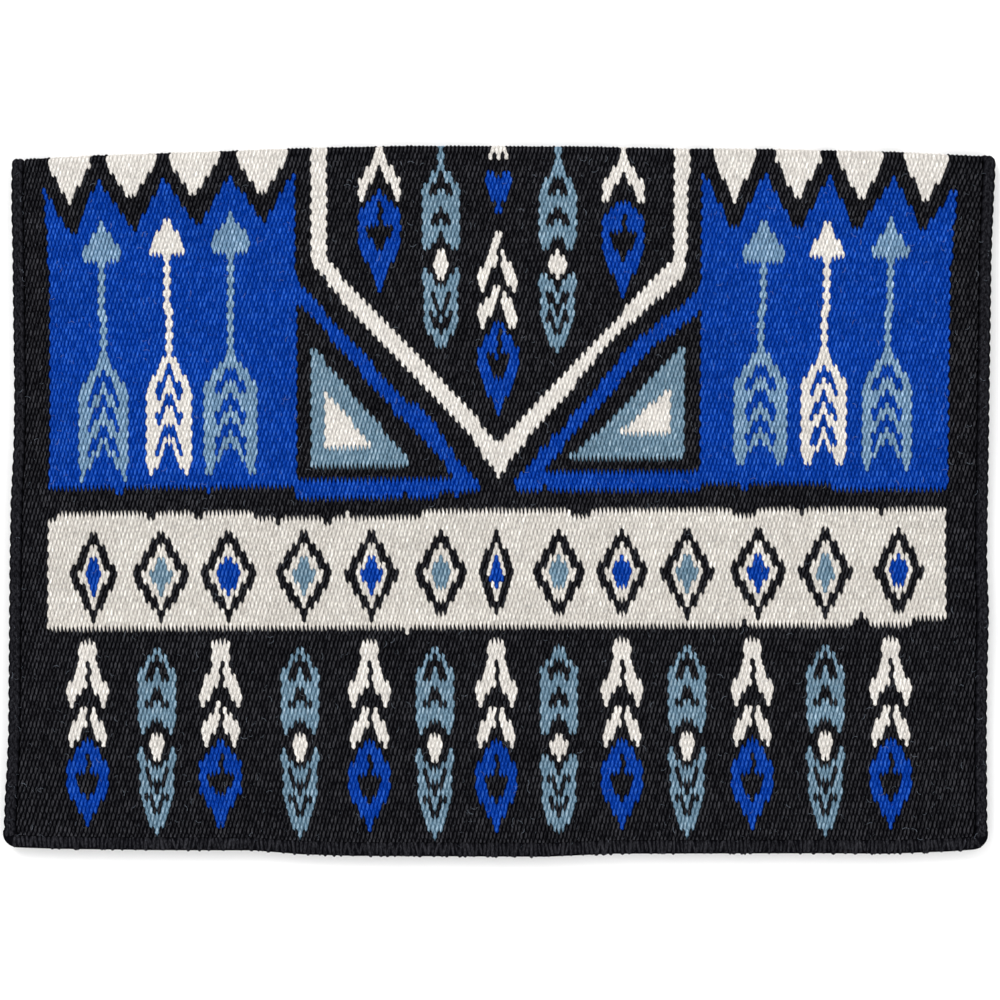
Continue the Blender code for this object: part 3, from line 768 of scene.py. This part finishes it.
# Tones: painted valley shade, the yarn's own colour, painted crest highlight.
WOOLS["natural_band"] = wool("natural_wool_band_weft", (0.36, 0.34, 0.31), (0.60, 0.565, 0.52), (0.80, 0.77, 0.725),
                             0.35, 0.05, 0.05)
weave("white_band", claim(band | kept), "natural_band", ["diamond_band"])

# ---------------------------------------------------------------------------------------------
# Feathers of the hem: thirteen, plumes and quills by turns, hanging from the band to the hem.
# Wool weft; each plume has two pairs of white vanes and a blue tip with a black heart in it.

PLUME_TOP, QUILL_TOP = 496, 501
HEM_COLUMNS = (-410.5, -341.5, -277.5, -198.5, -128.5, -64.5, -1.5, 60.6, 125, 190.5, 257, 329, 394.4)
white, blue, steel, eyes = (np.zeros(columns.shape, bool) for _ in range(4))
for number, column in enumerate(HEM_COLUMNS):
    if number % 2:
        quill_floats, eye = quill(column, QUILL_TOP, None)
        steel |= quill_floats
        eyes |= eye
        continue
    column = snapped(column)
    wing = figure(column, PLUME_TOP, [(9.5, -2), (9.5, 26), (19.8, 40), (20.5, 52), (18, 63), (13, 59), (8, 49),
                                      (0, 40)])
    vane = figure(column, PLUME_TOP, [(0, 58), (4, 62), (18.6, 84), (19.5, 94), (16.5, 105), (10, 96), (0, 80)])
    slits = slit(column, 511, 538) | slit(column, 550, 584)
    white |= (wing | vane) & ~slits
    tip = figure(column, PLUME_TOP, [(0, 96), (4, 98), (14, 112), (20, 120), (20.8, 146), (12, 161), (5, 175),
                                     (0, 187)])
    heart = figure(column, PLUME_TOP, [(0, 133), (5, 129), (12.2, 130), (12.2, 137), (6, 148), (0, 157)])
    blue |= tip & ~heart & ~slit(column, 604, 630)
weave("hem_plumes", claim(white), "natural")
weave("hem_plume_tips", claim(blue), "royal")
weave("hem_quill_eyes", claim(eyes), "natural")
weave("hem_quills", claim(steel), "steel")

# ---------------------------------------------------------------------------------------------
# Black ground: the shoulders above the blue fields, the borders, the bar over the band and the
# hem field. Black wool weft over the same warps; it takes every float that no motif has taken.

SHOULDER_FOOT, BAND_FOOT = 92, 481.5
weave("shoulder_ground", claim(float_depth < SHOULDER_FOOT * SQUARE), "black", ["ground_weave"])
weave("border_ground", claim(float_depth < BAND_FOOT * SQUARE), "black", ["ground_weave"])
weave("hem_ground", claim(free.copy()), "black", ["ground_weave"])
for piece in ("off_shoulder_ground_1", "off_yoke_ground_1"):
    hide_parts("spine_roll")

# ---------------------------------------------------------------------------------------------
# Warp: the layer of strong wool warps inside each leaf, which every patch of weft is beaten down
# over, so that none of it shows. It is the cloth itself, and has the size the cloth was woven to.

WARP_HALF = 0.0009
WARP_SPAN = 0.4205
WARP_RUN = CLOTH_LENGTH - 0.0005
WARP_CELLS = (60, 84)


def warp_layer(title, leaf):
    """A thin closed slab inside a leaf, from the turn at the spine to the hem."""
    across, along = WARP_CELLS
    x = np.linspace(-WARP_SPAN, WARP_SPAN, across + 1)
    s = np.linspace(ROLL_ARC, WARP_RUN, along + 1)
    grid_s, grid_x = np.meshgrid(s, x, indexing="ij")
    over = np.column_stack([grid_x.ravel(), -grid_s.ravel(), np.full(grid_x.size, WARP_HALF)])
    points = np.vstack([over, over * (1, 1, -1)])
    wide, under = across + 1, over.shape[0]
    cells = [(i * wide + j, (i + 1) * wide + j, (i + 1) * wide + j + 1, i * wide + j + 1)
             for i in range(len(s) - 1) for j in range(across)]
    rim = list(range(wide)) + [i * wide + across for i in range(1, len(s))]
    rim += [(len(s) - 1) * wide + j for j in range(across - 1, -1, -1)] + [i * wide for i in range(len(s) - 2, 0, -1)]
    faces = cells + [tuple(under + v for v in reversed(cell)) for cell in cells]
    faces += [(a, b, under + b, under + a) for a, b in zip(rim, rim[1:] + rim[:1])]
    mesh = bpy.data.meshes.new(title)
    mesh.from_pydata(drape(leaf, points).tolist(), [], faces)
    if leaf == "off":
        mesh.flip_normals()
    mesh.shade_smooth()
    mesh.materials.append(WOOLS["black"])
    return added(title, mesh)


for leaf in ("off", "near"):
    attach(warp_layer(f"{leaf}_warp", leaf), f"{leaf}_side")

# ---------------------------------------------------------------------------------------------
# Side plaits: a flat three-strand plait of thick black yarn down each side of each leaf, sewn to
# the selvedge, which gives the sides their scalloped line.

PLAIT_REPEAT = 0.0318
PLAIT_MIDDLE = 0.42725
PLAIT_STEPS = 240


def round_line(tree, corners, radius):
    """A circle, as the section of a yarn or as its path round a core."""
    return put(tree, "GeometryNodeCurvePrimitiveCircle", {"Resolution": corners, "Radius": radius}).outputs[0]


def cord(tree, line, profile, caps=True):
    """A line given a round body."""
    return put(tree, "GeometryNodeCurveToMesh",
               {"Curve": line, "Profile Curve": profile, "Fill Caps": caps}).outputs[0]


def plaited():
    """Geometry nodes: strands that cross over each other along a flat path, left as flat as the cloth."""
    tree, given, result = node_group(
        "plaited", "GeometryNodeTree",
        [("Path", "NodeSocketGeometry", None), ("Repeat", "NodeSocketFloat", PLAIT_REPEAT),
         ("Half Width", "NodeSocketFloat", 0.0027), ("Half Height", "NodeSocketFloat", 0.0008),
         ("Strand Radius", "NodeSocketFloat", 0.0035), ("Wool", "NodeSocketMaterial", None)],
        [("Plait", "NodeSocketGeometry")])
    path = put(tree, "GeometryNodeMeshToCurve", {"Mesh": given["Path"]}).outputs[0]
    along = put(tree, "GeometryNodeSplineParameter").outputs["Length"]
    turns = maths(tree, "DIVIDE", along, given["Repeat"])
    whole = maths(tree, "MULTIPLY", turns, math.tau)
    profile = round_line(tree, 8, given["Strand Radius"])
    joined = put(tree, "GeometryNodeJoinGeometry")
    place = put(tree, "GeometryNodeInputPosition").outputs[0]
    place_x = put(tree, "ShaderNodeSeparateXYZ", {0: place}).outputs[0]
    for strand in range(3):
        angle = maths(tree, "ADD", whole, strand * math.tau / 3)
        sway = maths(tree, "SINE", angle)
        double = maths(tree, "MULTIPLY", angle, 2.0)
        lift = maths(tree, "SINE", double)
        across = maths(tree, "MULTIPLY", sway, given["Half Width"])
        height = maths(tree, "MULTIPLY", lift, given["Half Height"])
        offset = vector(tree, {0: across, 2: height})
        swayed = put(tree, "GeometryNodeSetPosition", {"Geometry": path, "Offset": offset}).outputs[0]
        strand_line = marked(tree, swayed, "centre", place_x)
        tube = cord(tree, strand_line, profile)
        tree.links.new(tube, joined.inputs[0])
    centre = carried(tree, "centre")
    aside = maths(tree, "SUBTRACT", place_x, centre)
    beside = maths(tree, "ABSOLUTE", aside)
    # Painted shade: the crest share falls from a strand's middle line to its edges, so the wool paints the sides of
    # each strand darker.
    crest = ranged(tree, beside, {"From Max": given["Strand Radius"], "To Min": 1.0, "To Max": 0.3})
    lit = marked(tree, joined.outputs[0], "crest", crest)
    return dress(tree, lit, given, result)


def laid_cord(title, leaf, points, tree):
    """A cord of the edge grown along a flat path and laid as the cloth is."""
    path = bpy.data.meshes.new("path")
    path.from_pydata(points, [(n, n + 1) for n in range(len(points) - 1)], [])
    mesh = grown(path, tree, {"Wool": WOOLS["plait"]}, title)
    lay(mesh, leaf)
    mesh.shade_smooth()
    return added(title, mesh)


PLAITED = plaited()
# Tones: painted valley shade, the yarn's own colour, painted crest highlight.
WOOLS["plait"] = wool("black_edge_yarn", (0.0010, 0.0010, 0.0016), (0.0050, 0.0050, 0.0067), (0.034, 0.034, 0.040),
                      0.80, 0.10, 0.0)
for leaf in ("off", "near"):
    for end, side in (("front", -1), ("rear", 1)):
        points = [(side * PLAIT_MIDDLE, -SIDE_LENGTH * n / PLAIT_STEPS, 0) for n in range(PLAIT_STEPS + 1)]
        plait = laid_cord(f"{leaf}_side_plait_{end}", leaf, points, PLAITED)
        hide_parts(f"{leaf}_edge_plait_{end}")
        fold_bend(plait, leaf)

# ---------------------------------------------------------------------------------------------
# Hem cord: the warp ends are turned in and overcast with thick black yarn along the lower edge
# of each leaf, round both corners. It is a dark core with one slanting wrap for each warp.


def overcast():
    """Geometry nodes: slanting wraps of yarn, one after another, round a path."""
    tree, given, result = node_group(
        "overcast", "GeometryNodeTree",
        [("Path", "NodeSocketGeometry", None), ("Pitch", "NodeSocketFloat", 0.0035),
         ("Half Width", "NodeSocketFloat", 0.0053), ("Half Height", "NodeSocketFloat", 0.0021),
         ("Yarn Radius", "NodeSocketFloat", 0.0018), ("Seed", "NodeSocketInt", 11),
         ("Wool", "NodeSocketMaterial", None)],
        [("Hem", "NodeSocketGeometry")])
    path = put(tree, "GeometryNodeMeshToCurve", {"Mesh": given["Path"]}).outputs[0]
    stations = put(tree, "GeometryNodeCurveToPoints", {"Curve": path, "Length": given["Pitch"]}, mode="LENGTH")
    ring = round_line(tree, 10, 1.0)
    size = vector(tree, {0: given["Half Width"], 1: given["Half Height"], 2: 1.0})
    oval = put(tree, "GeometryNodeTransform", {"Geometry": ring, "Scale": size}).outputs[0]
    profile = round_line(tree, 6, given["Yarn Radius"])
    wrap = cord(tree, oval, profile, False)
    # Painted shade: each wrap's crest share falls from the middle of its yarn to the edges, so the wool paints those
    # edges darker.
    depth = put(tree, "ShaderNodeSeparateXYZ", {0: put(tree, "GeometryNodeInputPosition").outputs[0]}).outputs[2]
    beside = maths(tree, "ABSOLUTE", depth)
    crest = ranged(tree, beside, {"From Max": given["Yarn Radius"], "To Min": 0.95, "To Max": 0.62})
    lit = marked(tree, wrap, "crest", crest)
    upright = put(tree, "GeometryNodeTransform",
                  {"Geometry": lit, "Rotation": (math.pi / 2, 0, math.pi / 2)}).outputs[0]
    lean = chance(tree, {2: -0.30, 3: 0.34, "Seed": given["Seed"]})
    leaning = vector(tree, {2: lean})
    facing = put(tree, "FunctionNodeAlignRotationToVector", {"Vector": stations.outputs["Tangent"]}, axis="X",
                 pivot_axis="Z").outputs[0]
    turned = put(tree, "FunctionNodeRotateRotation", {"Rotation": facing, "Rotate By": leaning},
                 rotation_space="LOCAL").outputs[0]
    sizes = chance(tree, {0: (0.80, 0.80, 0.92), 1: (1.25, 1.15, 1.06), "Seed": given["Seed"]}, "FLOAT_VECTOR")
    level = maths(tree, "ABSOLUTE", put(tree, "ShaderNodeSeparateXYZ", {0: stations.outputs["Tangent"]}).outputs[0])
    straight = maths(tree, "GREATER_THAN", level, 0.85)
    placed = put(tree, "GeometryNodeInstanceOnPoints",
                 {"Points": stations.outputs[0], "Selection": straight, "Instance": upright, "Rotation": turned,
                  "Scale": sizes}).outputs[0]
    tone = chance(tree, {3: 0.7, "Seed": given["Seed"]})
    toned = marked(tree, placed, "tone", tone, "INSTANCE")
    across = put(tree, "ShaderNodeVectorMath", {0: size, 1: (1.24, 1.45, 1.0)}, operation="MULTIPLY").outputs[0]
    round_core = round_line(tree, 12, 1.0)
    core_shape = put(tree, "GeometryNodeTransform", {"Geometry": round_core, "Scale": across}).outputs[0]
    core = cord(tree, path, core_shape)
    # Painted shade: the core, which lies under the wraps, gets a crest share of one half and so a darker tone than
    # the wraps.
    core_lit = marked(tree, core, "crest", 0.5)
    joined = put(tree, "GeometryNodeJoinGeometry")
    tree.links.new(core_lit, joined.inputs[0])
    tree.links.new(toned, joined.inputs[0])
    return dress(tree, joined.outputs[0], given, result)


OVERCAST = overcast()
HEM_MIDDLE = CLOTH_LENGTH + 0.0056       # the middle of the cord lies just past the end of the cloth
HEM_CORNER, HEM_RISE = 0.0066, 0.0025    # radius of its corners, and how far it runs up the sides from them
HEM_STEPS = 120
bend = [math.radians(9 * n) for n in range(10)]
for leaf in ("off", "near"):
    corner = [(PLAIT_MIDDLE - HEM_CORNER * (1 - math.sin(a)), -HEM_MIDDLE + HEM_CORNER * (1 - math.cos(a)), 0)
              for a in bend]
    corner.append((PLAIT_MIDDLE, HEM_CORNER - HEM_MIDDLE + HEM_RISE, 0))
    inner = PLAIT_MIDDLE - HEM_CORNER
    points = [(-x, y, z) for x, y, z in reversed(corner)]
    points += [(inner * n / HEM_STEPS, -HEM_MIDDLE, 0) for n in range(1 - HEM_STEPS, HEM_STEPS)] + corner
    hem = laid_cord(f"{leaf}_overcast_hem", leaf, points, OVERCAST)
    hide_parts(f"{leaf}_hem_cord")
    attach(hem, f"{leaf}_side")

# ---------------------------------------------------------------------------------------------
# Stray fibres: fine pale hairs of the natural wool that felt themselves onto the outer face of
# each leaf in use. They are strewn by chance, most of them short.


def strays():
    """Geometry nodes: bent hairs strewn over a face, each turned and sized by chance."""
    tree, given, result = node_group(
        "strays", "GeometryNodeTree",
        [("Face", "NodeSocketGeometry", None), ("Density", "NodeSocketFloat", 9000.0),
         ("Shortest", "NodeSocketFloat", 0.0012), ("Longest", "NodeSocketFloat", 0.0060),
         ("Thickness", "NodeSocketFloat", 0.018), ("Seed", "NodeSocketInt", 5), ("Wool", "NodeSocketMaterial", None)],
        [("Hairs", "NodeSocketGeometry")])
    points = put(tree, "GeometryNodeDistributePointsOnFaces",
                 {"Mesh": given["Face"], "Density": given["Density"], "Seed": given["Seed"]}).outputs["Points"]
    bow = put(tree, "GeometryNodeCurveQuadraticBezier",
              {"Resolution": 3, "Start": (-0.5, 0, 0), "Middle": (0.05, 0.42, 0.10), "End": (0.5, 0, 0)}).outputs[0]
    profile = round_line(tree, 3, given["Thickness"])
    hair = cord(tree, bow, profile)
    turn = chance(tree, {1: (0, 0, math.tau), "Seed": given["Seed"]}, "FLOAT_VECTOR")
    rare = maths(tree, "POWER", chance(tree, {"Seed": given["Seed"]}), 4.0)
    length = ranged(tree, rare, {"To Min": given["Shortest"], "To Max": given["Longest"]})
    placed = put(tree, "GeometryNodeInstanceOnPoints",
                 {"Points": points, "Instance": hair, "Rotation": turn, "Scale": length}).outputs[0]
    return dress(tree, placed, given, result)


STRAYS = strays()
WOOLS["hair"] = wool("stray_wool_hair", (0.25, 0.29, 0.35), (0.30, 0.35, 0.42), (0.39, 0.45, 0.53),
                     0.6, 0.2, 0.0)
for leaf, seed in (("off", 21), ("near", 12)):
    reach, start, stop, level = 0.4300, 0.0120, 0.6110, HALF_CLOTH + 0.0001
    face = bpy.data.meshes.new("face")
    face.from_pydata([(-reach, -stop, level), (reach, -stop, level), (reach, -start, level), (-reach, -start, level)],
                     [], [(0, 1, 2, 3)])
    mesh = grown(face, STRAYS, {"Wool": WOOLS["hair"], "Seed": seed}, f"{leaf}_stray_hairs")
    lay(mesh, leaf)
    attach(added(f"{leaf}_stray_hairs", mesh), f"{leaf}_side")

# ---------------------------------------------------------------------------------------------
# Stage: a pale table top, soft light from all round, and the camera straight above the blanket.


VIEW_WIDTH = 0.8807          # the width that the photograph shows
CAMERA_X, TOP_FACE = 0.00132, 0.0154
LENS, SENSOR = 85, 36


def stage():
    """The table top, two lamps, the pale room and the camera."""
    floor = bpy.data.meshes.new("floor")
    size = 6.0
    floor.from_pydata([(-size, -size, 0), (size, -size, 0), (size, size, 0), (-size, size, 0)], [], [(0, 1, 2, 3)])
    top = added("floor", floor)
    paint = bpy.data.materials.new("pale_table_top")
    paint.use_nodes = True
    paint.node_tree.nodes["Principled BSDF"].inputs["Base Color"].default_value = (0.95, 0.95, 0.95, 1)
    paint.node_tree.nodes["Principled BSDF"].inputs["Roughness"].default_value = 0.8
    floor.materials.append(paint)
    for name, place, power, width in (("key_light", (-1.6, 2.2, 2.6), 55, 1.6),
                                      ("fill_light", (2.2, -1.4, 2.6), 26, 2.4)):
        lamp = bpy.data.lights.new(name, "AREA")
        lamp.energy = power
        lamp.size = width
        light = added(name, lamp)
        light.location = place
        x, y, z = place
        light.rotation_euler = (math.atan2(math.hypot(x, y), z), 0, math.atan2(x, -y))
    world = bpy.data.worlds.new("pale_room")
    world.use_nodes = True
    world.node_tree.nodes["Background"].inputs["Color"].default_value = (1, 1, 1, 1)
    world.node_tree.nodes["Background"].inputs["Strength"].default_value = 1.0
    bpy.context.scene.world = world
    bpy.context.scene.view_settings.view_transform = "Standard"
    lens = bpy.data.cameras.new("camera")
    lens.lens = LENS
    lens.sensor_width = SENSOR
    camera = added("camera", lens)
    camera.location = (CAMERA_X, 0, TOP_FACE + VIEW_WIDTH * LENS / SENSOR)
    bpy.context.scene.camera = camera


stage()
